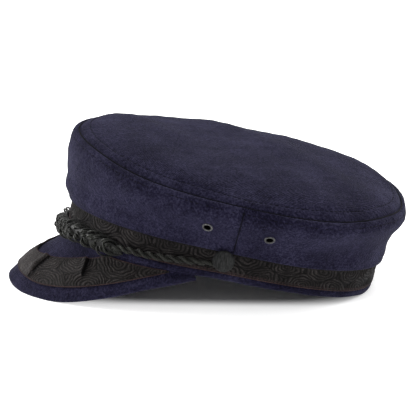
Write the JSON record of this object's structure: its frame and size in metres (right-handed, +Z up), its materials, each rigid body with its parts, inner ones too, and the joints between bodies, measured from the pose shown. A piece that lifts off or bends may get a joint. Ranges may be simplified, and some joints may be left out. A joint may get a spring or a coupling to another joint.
{
  "type": "breton fisherman cap",
  "caption": "Soft wool peaked cap: flared hollow crown with a domed top, headband with embroidered braid, curved peak, plaited cord held by side buttons, vent eyelets.",
  "frame": {"origin": "bottom centre of the cap's box, on the surface that the cap rests on", "axes": "+Z up, the peak towards -Y, +X the wearer's left"},
  "size_m": [0.2164, 0.268, 0.1089],
  "materials": {
    "wool": "navy melton wool, matt, fine nap",
    "braid": "black-brown mohair braid with ribbed scrolls",
    "cord": "black lustrous twisted cord",
    "button": "dark grey woven covering",
    "eyelet": "gunmetal, satin"
  },
  "bodies": {
    "root": {"crown_top": "wool", "crown_side_front": "wool", "crown_side_back": "wool", "headband": "wool", "band_braid": "braid", "peak": "wool", "peak_braid": "braid", "cord_knot": "cord", "cord_left": "cord", "cord_right": "cord", "button_left": "button", "button_right": "button", "eyelet_left_front": "eyelet", "eyelet_left_back": "eyelet", "eyelet_right_front": "eyelet", "eyelet_right_back": "eyelet"}
  },
  "joints": []
}
